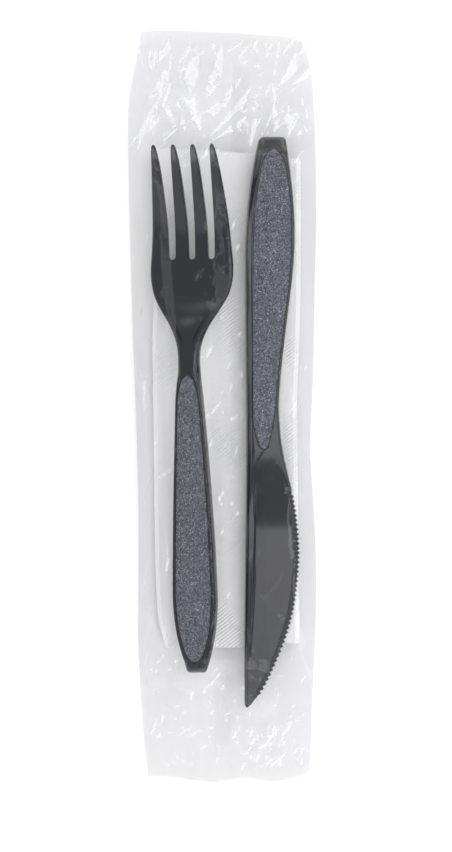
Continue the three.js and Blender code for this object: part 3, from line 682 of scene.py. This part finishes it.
def scattered(rng, count, x_range, y_range, tilt, length, width, lift):
    """Crease lines at random places, with angles about the pack's length, in radians."""
    cx = rng.uniform(*x_range, count)
    cy = rng.uniform(*y_range, count)
    angle = rng.normal(0, tilt, count) + (cx - 1) / 90 * np.sign(cy)
    sizes = rng.uniform(0, 1, count) ** 1.6
    sign = np.where(rng.random(count) < 0.7, 1, -1)
    return list(zip(cx, cy, angle, mix(*length, sizes), mix(*width, rng.random(count)),
                    sign * mix(*lift, rng.random(count)), rng.uniform(0.25, 0.75, count)))


PAINTED_HIGHLIGHT_FROM, PAINTED_HIGHLIGHT_FULL = 0.07, 0.30  # slopes at which the painted highlight starts and is whole
PAINTED_HIGHLIGHT_OVER_CUTLERY = 0.15  # share of the painted highlight that is left where the film lies on the cutlery
LEAN_ACROSS, LEAN_ALONG = 0.8, -0.45  # the direction that a side with the painted highlight faces
rng = np.random.default_rng(11)
upper_lines = (
    scattered(rng, 44, (-28, 28), (94, 117), 0.42, (9, 26), (2.2, 5.5), (0.8, 1.9))
    + scattered(rng, 110, (-29, 29), (90, 121), 0.6, (4, 13), (0.6, 1.4), (0.25, 0.7))
    + scattered(rng, 30, (-29, 29), (117, 124), 0.4, (3, 9), (0.5, 1.2), (0.1, 0.3))
    + scattered(rng, 5, (-24, 27), (-112, -90), 0.5, (6, 16), (0.8, 2.0), (0.15, 0.4))
    + scattered(rng, 150, (-25, 28), (-121, -80), 0.9, (2, 9), (0.5, 1.0), (0.15, 0.5))
    + scattered(rng, 34, (9, 19), (-119, -108), 0.8, (3, 9), (0.6, 1.2), (0.3, 0.7))
    + scattered(rng, 14, (-29, -25), (-90, 80), 0.04, (12, 40), (0.8, 1.6), (0.08, 0.2))
    + scattered(rng, 10, (27, 30), (-90, 80), 0.04, (8, 26), (0.6, 1.2), (0.05, 0.12))
    + scattered(rng, 80, (-26, 28), (-80, 88), 0.6, (5, 22), (0.8, 2.0), (0.15, 0.45))
    + scattered(rng, 60, (-28, 30), (-80, 88), 0.9, (2, 8), (0.6, 1.6), (0.08, 0.25))
    + scattered(rng, 90, (-9, 7), (-80, 85), 0.7, (2, 9), (0.7, 1.8), (0.15, 0.5))
)
lower_lines = (
    scattered(rng, 30, (-29, 29), (92, 121), 0.5, (4, 16), (0.8, 2.2), (0.12, 0.4))
    + scattered(rng, 20, (-25, 28), (-121, -86), 0.6, (2, 8), (0.6, 1.4), (0.06, 0.2))
    + scattered(rng, 16, (-29, -25), (-90, 80), 0.05, (15, 50), (0.8, 1.6), (0.05, 0.15))
)
inward = np.minimum(film_x - film_x[:, :1], film_x[:, -1:] - film_x)
endward = np.minimum(film_y - film_y[:1], film_y[-1:] - film_y)
free = shoulder(inward, 1.5) * shoulder(endward, 0.8)
sealed = 1 - ease(SEAL - 1, SEAL + 1, endward)
lower = 0.30 + 0.5 * np.abs(creased(film_x, film_y, lower_lines)) * free
lower += 0.35 * sealed * np.abs(creased(film_x, film_y, upper_lines))
tents = creased(film_x, film_y, upper_lines) * (1 - 0.3 * sealed) * free
upper = taut + tents
upper = np.maximum(upper, contents + 0.5 * AIR)
upper = np.maximum(upper, lower + mix(0.22, 0.1, sealed) * free)
for edge in (np.s_[0], np.s_[-1], np.s_[:, 0], np.s_[:, -1]):
    upper[edge] = lower[edge]
count = film_x.size
film_xyz = np.concatenate([
    np.stack([film_x, film_y, upper], 2).reshape(-1, 3),
    np.stack([film_x, film_y, lower], 2).reshape(-1, 3)]) * MM
film_faces = np.concatenate([
    grid_faces(rows, columns), grid_faces(rows, columns, count, True)])
# The painted highlight lies on the side of each crease that falls in one fixed direction, as if lit from
# there.
lean = LEAN_ACROSS * np.gradient(tents, axis=1) / np.gradient(film_x, axis=1)
lean += LEAN_ALONG * np.gradient(tents, axis=0) / np.gradient(film_y, axis=0)
crease_painted_highlight = ease(PAINTED_HIGHLIGHT_FROM, PAINTED_HIGHLIGHT_FULL, -lean) * np.where(cutlery > 0, PAINTED_HIGHLIGHT_OVER_CUTLERY, 1)
film_painted_highlight = np.r_[crease_painted_highlight.ravel(), np.zeros(count)]
film = close_up(make_mesh("film_sleeve_skin", film_xyz, film_faces, {"painted_highlight": film_painted_highlight}))
smooth(film, 4)
print(len(upper_lines) + len(lower_lines), "creases")

# %% [markdown]
# ## The back seam
#
# The film's long edges are welded together with a ribbed roller, and the flap is laid flat. It is
# seen through the sleeve as a band of fine cross ribs. A rib that repeats along a line is work for
# Geometry Nodes: a grid is corrugated by a sine of the distance along it. It stays a single skin,
# because every further skin under the clear sleeve would darken what is seen through it.


# %% Ribbed band by geometry nodes
def calculated(tree, operation, *terms):
    """The result of a math node whose terms are numbers or other nodes' outputs."""
    node = tree.nodes.new("ShaderNodeMath")
    node.operation = operation
    for given, term in zip(node.inputs, terms):
        if isinstance(term, bpy.types.NodeSocket):
            tree.links.new(term, given)
        else:
            given.default_value = term
    return node.outputs[0]


def number_inputs(tree, values):
    for name, value in values.items():
        made = tree.interface.new_socket(name, in_out="INPUT", socket_type="NodeSocketFloat")
        made.default_value = value


def ribbed_band_tree(material):
    tree = bpy.data.node_groups.new("ribbed band", "GeometryNodeTree")
    tree.interface.new_socket("Geometry", in_out="OUTPUT", socket_type="NodeSocketGeometry")
    number_inputs(tree, {
        "Width": 0.0054, "Length": 0.226, "Rib pitch": 0.0007, "Rib depth": 0.00006})
    nodes, link = tree.nodes, tree.links.new
    given, result = nodes.new("NodeGroupInput"), nodes.new("NodeGroupOutput")
    ribs = calculated(tree, "DIVIDE", given.outputs["Length"], given.outputs["Rib pitch"])
    grid = nodes.new("GeometryNodeMeshGrid")
    grid.inputs["Vertices X"].default_value = 4
    link(calculated(tree, "MULTIPLY", ribs, 4), grid.inputs["Vertices Y"])
    link(given.outputs["Width"], grid.inputs["Size X"])
    link(given.outputs["Length"], grid.inputs["Size Y"])
    place, parts = nodes.new("GeometryNodeInputPosition"), nodes.new("ShaderNodeSeparateXYZ")
    link(place.outputs[0], parts.inputs[0])
    turns = calculated(tree, "DIVIDE", parts.outputs["Y"], given.outputs["Rib pitch"])
    wave = calculated(tree, "SINE", calculated(tree, "MULTIPLY", turns, 2 * math.pi))
    height = calculated(tree, "MULTIPLY", wave, given.outputs["Rib depth"])
    lift = nodes.new("ShaderNodeCombineXYZ")
    link(height, lift.inputs["Z"])
    wavy = nodes.new("GeometryNodeSetPosition")
    link(grid.outputs["Mesh"], wavy.inputs["Geometry"])
    link(lift.outputs[0], wavy.inputs["Offset"])
    real, dress = nodes.new("GeometryNodeRealizeInstances"), nodes.new("GeometryNodeSetMaterial")
    dress.inputs["Material"].default_value = material
    link(wavy.outputs[0], real.inputs[0])
    link(real.outputs[0], dress.inputs["Geometry"])
    link(dress.outputs[0], result.inputs[0])
    return tree


def grown(name, tree, **sizes):
    """The plain mesh that a geometry tree makes, as a new object at the origin."""
    host = make_mesh(name + "_host", np.zeros((1, 3)), [])
    modifier = host.modifiers.new("grow", "NODES")
    modifier.node_group = tree
    for item in tree.interface.items_tree:
        if item.item_type == "SOCKET" and item.in_out == "INPUT" and item.name in sizes:
            modifier[item.identifier] = sizes[item.name]
    view = bpy.context.evaluated_depsgraph_get()
    mesh = bpy.data.meshes.new_from_object(host.evaluated_get(view))
    bpy.data.objects.remove(host)
    mesh.name = name
    obj = bpy.data.objects.new(name, mesh)
    bpy.context.scene.collection.objects.link(obj)
    print(f"{name}: {len(mesh.polygons)} faces")
    return obj

# %% [markdown]
# ## Finishes
#
# Three finishes are needed: black glossy plastic with grained panels, soft embossed tissue, and
# clear film. Each is built from nodes that read Object coordinates, so the patterns keep their
# real size in millimetres. The waviness is a node group because the plastic and both films use
# it. The grain is one as well, which keeps the tree of the plastic short. Its bright specks are
# painted glints, and its lighter grains are partly painted sheen.


# %% Node helpers
def new_material(name):
    material = bpy.data.materials.new(name)
    material.use_nodes = True
    nodes = material.node_tree.nodes
    nodes.clear()
    return material, nodes, material.node_tree.links.new


def add(nodes, kind, **inputs):
    """A node with values on its named inputs. An underscore stands for a space."""
    node = nodes.new(kind)
    for key, value in inputs.items():
        name = key.replace("_", " ")
        if name in node.inputs:
            node.inputs[name].default_value = value
        else:
            setattr(node, key, value)
    return node


def group_of(name, inputs, outputs):
    tree = bpy.data.node_groups.new(name, "ShaderNodeTree")
    number_inputs(tree, inputs)
    for key in outputs:
        tree.interface.new_socket(key, in_out="OUTPUT", socket_type="NodeSocketFloat")
    return tree, tree.nodes.new("NodeGroupInput"), tree.nodes.new("NodeGroupOutput")


# %% Grain and waviness groups
def grain_group():
    """Fine moulded grain: a height for bumps, a shade for each grain and a mask of specks that are
    painted glints.
    """
    tree, given, result = group_of("moulded grain", {"Grain size": 0.4}, ["Height", "Shade", "Painted glint"])
    nodes, link = tree.nodes, tree.links.new
    place = add(nodes, "ShaderNodeTexCoord")
    scale = calculated(tree, "DIVIDE", 1000, given.outputs["Grain size"])
    cells = add(nodes, "ShaderNodeTexVoronoi", feature="F1")
    link(place.outputs["Object"], cells.inputs["Vector"])
    link(scale, cells.inputs["Scale"])
    link(cells.outputs["Distance"], result.inputs["Height"])
    tone = add(nodes, "ShaderNodeSeparateColor")
    link(cells.outputs["Color"], tone.inputs[0])
    link(tone.outputs[1], result.inputs["Shade"])
    # Small bright cell cores become specks, which are painted glints.
    bright = add(nodes, "ShaderNodeMapRange", From_Min=0.72, From_Max=1.0)
    link(tone.outputs[0], bright.inputs["Value"])
    core = add(nodes, "ShaderNodeMapRange", From_Min=0.6, From_Max=0.2)
    link(cells.outputs["Distance"], core.inputs["Value"])
    painted_glint = calculated(tree, "MULTIPLY", bright.outputs[0], core.outputs[0])
    link(painted_glint, result.inputs["Painted glint"])
    return tree


def waviness_group():
    """Slow unevenness of a moulded or pressed surface, as a height."""
    tree, given, result = group_of("waviness", {"Size": 6.0}, ["Height"])
    nodes, link = tree.nodes, tree.links.new
    place = add(nodes, "ShaderNodeTexCoord")
    scale = calculated(tree, "DIVIDE", 1000, given.outputs["Size"])
    noise = add(nodes, "ShaderNodeTexNoise", Detail=1.5, Roughness=0.4)
    link(place.outputs["Object"], noise.inputs["Vector"])
    link(scale, noise.inputs["Scale"])
    link(noise.outputs[0], result.inputs["Height"])
    return tree


GRAIN, WAVINESS = grain_group(), waviness_group()
print("shader groups:", GRAIN.name, "|", WAVINESS.name)


def place_group(nodes, tree, **inputs):
    node = nodes.new("ShaderNodeGroup")
    node.node_tree = tree
    for key, value in inputs.items():
        node.inputs[key.replace("_", " ")].default_value = value
    return node


# %% Black moulded plastic
def black_plastic():
    material, nodes, link = new_material("black moulded plastic")
    out = add(nodes, "ShaderNodeOutputMaterial")
    shader = add(nodes, "ShaderNodeBsdfPrincipled", IOR=1.55)
    link(shader.outputs[0], out.inputs["Surface"])
    panel = add(nodes, "ShaderNodeAttribute", attribute_name="grain")
    grain = place_group(nodes, GRAIN, Grain_size=0.36)
    wave = place_group(nodes, WAVINESS, Size=7.0)
    painted_glint, shade, lift = (
        calculated(material.node_tree, "MULTIPLY", grain.outputs[name], panel.outputs["Fac"])
        for name in ("Painted glint", "Shade", "Height"))
    # Each grain takes a random tone from near black to a lighter grey. The lighter end is partly the
    # panel's own tone and partly painted sheen of the rough grain.
    tone_and_painted_sheen = add(nodes, "ShaderNodeMix", data_type="RGBA")
    tone_and_painted_sheen.inputs[6].default_value = (0.013, 0.014, 0.020, 1)
    tone_and_painted_sheen.inputs[7].default_value = (0.130, 0.143, 0.174, 1)
    link(shade, tone_and_painted_sheen.inputs[0])
    # Bright specks mixed into the panel colour are painted glints.
    base_with_painted_glints = add(nodes, "ShaderNodeMix", data_type="RGBA")
    base_with_painted_glints.inputs[7].default_value = (0.50, 0.53, 0.58, 1)
    link(painted_glint, base_with_painted_glints.inputs[0])
    link(tone_and_painted_sheen.outputs[2], base_with_painted_glints.inputs[6])
    link(base_with_painted_glints.outputs[2], shader.inputs["Base Color"])
    gloss = add(nodes, "ShaderNodeMapRange", To_Min=0.14, To_Max=0.42)
    link(panel.outputs["Fac"], gloss.inputs["Value"])
    link(gloss.outputs[0], shader.inputs["Roughness"])
    slow = add(nodes, "ShaderNodeBump", Strength=0.1, Distance=0.0004)
    link(wave.outputs["Height"], slow.inputs["Height"])
    fine = add(nodes, "ShaderNodeBump", Strength=0.8, Distance=0.00022)
    link(lift, fine.inputs["Height"])
    link(slow.outputs[0], fine.inputs["Normal"])
    link(fine.outputs[0], shader.inputs["Normal"])
    return material


# %% Tissue
def tissue():
    material, nodes, link = new_material("white tissue")
    out = add(nodes, "ShaderNodeOutputMaterial")
    shader = add(nodes, "ShaderNodeBsdfPrincipled", Roughness=0.95)
    shader.inputs["Specular IOR Level"].default_value = 0.2
    link(shader.outputs[0], out.inputs["Surface"])
    place = add(nodes, "ShaderNodeTexCoord")
    fibre = add(nodes, "ShaderNodeTexNoise", Scale=900.0, Detail=4.0, Roughness=0.7)
    link(place.outputs["Object"], fibre.inputs["Vector"])
    tone = add(nodes, "ShaderNodeMix", data_type="RGBA")
    tone.inputs[6].default_value = (0.85, 0.85, 0.86, 1)
    tone.inputs[7].default_value = (0.93, 0.93, 0.93, 1)
    link(fibre.outputs[0], tone.inputs[0])
    link(tone.outputs[2], shader.inputs["Base Color"])
    turn = add(nodes, "ShaderNodeMapping")
    turn.inputs["Rotation"].default_value = (0, 0, math.radians(52))
    link(place.outputs["Object"], turn.inputs["Vector"])
    ribs = add(nodes, "ShaderNodeTexWave", Scale=330.0, Distortion=1.2, Detail=1.0)
    link(turn.outputs[0], ribs.inputs["Vector"])
    where = add(nodes, "ShaderNodeTexNoise", Scale=45.0, Detail=0.0)
    link(place.outputs["Object"], where.inputs["Vector"])
    patch = add(nodes, "ShaderNodeMapRange", From_Min=0.5, From_Max=0.7)
    link(where.outputs[0], patch.inputs["Value"])
    tree = material.node_tree
    ribbed = calculated(tree, "MULTIPLY", ribs.outputs["Fac"], patch.outputs[0])
    height = calculated(tree, "MULTIPLY_ADD", fibre.outputs[0], 0.5, ribbed)
    bump = add(nodes, "ShaderNodeBump", Strength=0.8, Distance=0.0002)
    link(height, bump.inputs["Height"])
    link(bump.outputs[0], shader.inputs["Normal"])
    return material


# %% Clear film
# How strongly the painted highlight whitens the film's creases.
PAINTED_HIGHLIGHT_STRENGTH = 0.4


def clear_film(name, tint, index):
    """See-through with a mirror-like sheen that grows at a slant, and a painted highlight in matt white
    where the mesh marks one.

    The index and tint are chosen. Both are lower than those of real film.
    """
    material, nodes, link = new_material(name)
    out = add(nodes, "ShaderNodeOutputMaterial")
    through_film = add(nodes, "ShaderNodeBsdfTransparent")
    through_film.inputs["Color"].default_value = tint
    sheen = add(nodes, "ShaderNodeBsdfPrincipled", Metallic=1.0, Roughness=0.08)
    sheen.inputs["Base Color"].default_value = (0.97, 0.97, 0.98, 1)
    facing = add(nodes, "ShaderNodeNewGeometry")
    bend = add(nodes, "ShaderNodeMapRange", To_Min=index, To_Max=1 / index)
    link(facing.outputs["Backfacing"], bend.inputs["Value"])
    fresnel = add(nodes, "ShaderNodeFresnel")
    link(bend.outputs[0], fresnel.inputs["IOR"])
    blend = add(nodes, "ShaderNodeMixShader")
    link(fresnel.outputs[0], blend.inputs[0])
    link(through_film.outputs[0], blend.inputs[1])
    link(sheen.outputs[0], blend.inputs[2])
    # Matt white is mixed in where the mesh marks it: a painted highlight on one side of each crease.
    painted_highlight = add(nodes, "ShaderNodeAttribute", attribute_name="painted_highlight")
    amount = calculated(material.node_tree, "MULTIPLY", painted_highlight.outputs["Fac"], PAINTED_HIGHLIGHT_STRENGTH)
    white = add(nodes, "ShaderNodeBsdfDiffuse", Color=(0.96, 0.96, 0.97, 1))
    with_painted_highlight = add(nodes, "ShaderNodeMixShader")
    link(amount, with_painted_highlight.inputs[0])
    link(blend.outputs[0], with_painted_highlight.inputs[1])
    link(white.outputs[0], with_painted_highlight.inputs[2])
    link(with_painted_highlight.outputs[0], out.inputs["Surface"])
    wave = place_group(nodes, WAVINESS, Size=5.0)
    bump = add(nodes, "ShaderNodeBump", Strength=0.3, Distance=0.0002)
    link(wave.outputs["Height"], bump.inputs["Height"])
    link(bump.outputs[0], sheen.inputs["Normal"])
    return material


BLACK, TISSUE_WHITE = black_plastic(), tissue()
FILM = clear_film("clear film", (0.938, 0.938, 0.944, 1), 1.27)
WELD = clear_film("welded film", (0.993, 0.993, 0.995, 1), 1.28)
for piece, material in ((fork, BLACK), (knife, BLACK), (napkin, TISSUE_WHITE), (film, FILM)):
    piece.data.materials.append(material)
print("materials:", BLACK.name, "|", TISSUE_WHITE.name, "|", FILM.name)

# %% Grow the back seam
SEAM_MIDDLE, SEAM_SKEW, SEAM_HEIGHT = 3.3, 0.0275, 0.14
seam = grown("film_back_seam", ribbed_band_tree(WELD), Width=0.0054)
at = np.array([v.co for v in seam.data.vertices]) / MM
at[:, 0] += SEAM_MIDDLE + SEAM_SKEW * at[:, 1]
at[:, 2] += SEAM_HEIGHT
seam.data.vertices.foreach_set("co", (at * MM).ravel())
seam.data.update()

# %% [markdown]
# ## Studio
#
# The pack lies on a plain pale table under soft light. Two long low softboxes, one at each end of
# the pack, and an even room do most of the lighting. Weaker ones to the right, to the left and
# near overhead shape the gloss. The strong ones are low, because film and gloss mirror what is
# above them, and a bright ceiling would hide the creases. Their powers are chosen.

# %% Floor, lights and camera
TABLE_HALF, TABLE_LEVEL = 3, -6e-5
floor_mesh = bpy.data.meshes.new("table_top")
corners = [(a * TABLE_HALF, b * TABLE_HALF, TABLE_LEVEL) for a, b in ((-1, -1), (1, -1), (1, 1), (-1, 1))]
floor_mesh.from_pydata(corners, [], [(0, 1, 2, 3)])
table_top = bpy.data.objects.new("table_top", floor_mesh)
bpy.context.scene.collection.objects.link(table_top)
pale, nodes, link = new_material("pale table")
board = add(nodes, "ShaderNodeBsdfPrincipled", Roughness=0.9)
board.inputs["Base Color"].default_value = (0.93, 0.93, 0.935, 1)
board.inputs["Specular IOR Level"].default_value = 0.1
link(board.outputs[0], add(nodes, "ShaderNodeOutputMaterial").inputs["Surface"])
table_top.data.materials.append(pale)


def softbox(name, place, size, watts):
    light = bpy.data.lights.new(name, "AREA")
    light.shape, light.size, light.size_y = "RECTANGLE", size[0], size[1]
    light.energy = watts
    obj = bpy.data.objects.new(name, light)
    obj.location = place
    obj.rotation_euler = (Vector((0, 0, 0)) - Vector(place)).to_track_quat("-Z", "Y").to_euler()
    obj.visible_camera = False
    bpy.context.scene.collection.objects.link(obj)
    return obj


softbox("overhead softbox", (0.28, 0.12, 1.6), (0.6, 0.8), 3.1)
softbox("left near softbox", (-0.8, -0.9, 1.4), (1.0, 1.0), 1.9)
softbox("key softbox", (1.5, 0.2, 1.1), (2.4, 0.9), 2.8)
softbox("far right softbox", (0.9, 1.3, 1.2), (0.9, 0.6), 5)
softbox("near right softbox", (0.9, -1.3, 1.2), (0.9, 0.6), 6)
softbox("strip light", (1.7, 0.3, 0.75), (1.6, 0.15), 3)
softbox("left low softbox", (-1.9, 0.0, 1.1), (3.2, 0.5), 10)
softbox("far low softbox", (0.0, 2.6, 0.9), (4.5, 1.6), 43)
softbox("near low softbox", (0.0, -2.6, 0.9), (4.5, 1.6), 55)
world = bpy.data.worlds.new("even room")
world.use_nodes = True
world.node_tree.nodes["Background"].inputs["Color"].default_value = (0.52, 0.52, 0.52, 1)
bpy.context.scene.world = world
bpy.context.scene.view_settings.view_transform = "Standard"

camera_data = bpy.data.cameras.new("camera")
camera = bpy.data.objects.new("camera", camera_data)
bpy.context.scene.collection.objects.link(camera)
bpy.context.scene.camera = camera
CAMERA_HEIGHT, FRAME_HEIGHT, SENSOR = 2.4, 0.284, 36
camera.location = (1.33 * MM, -6.5 * MM, CAMERA_HEIGHT)
camera_data.sensor_width = SENSOR
camera_data.lens = SENSOR * CAMERA_HEIGHT / FRAME_HEIGHT
camera_data.clip_start, camera_data.clip_end = 0.01, 50
print("lens:", round(camera_data.lens), "mm")

# %% [markdown]
# ## Joining the frame
#
# Every piece rides on the pack's one body, and the CAD part that it stands for is hidden.

# %% Riding the body and hiding the CAD parts
for piece, node, finish in (
    (fork, "fork", "black_plastic"), (knife, "knife", "black_plastic"),
    (napkin, "napkin", "tissue"), (film, "film_sleeve", "film"), (seam, "film_sleeve", "film")):
    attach(piece, BODY)
    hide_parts(node)
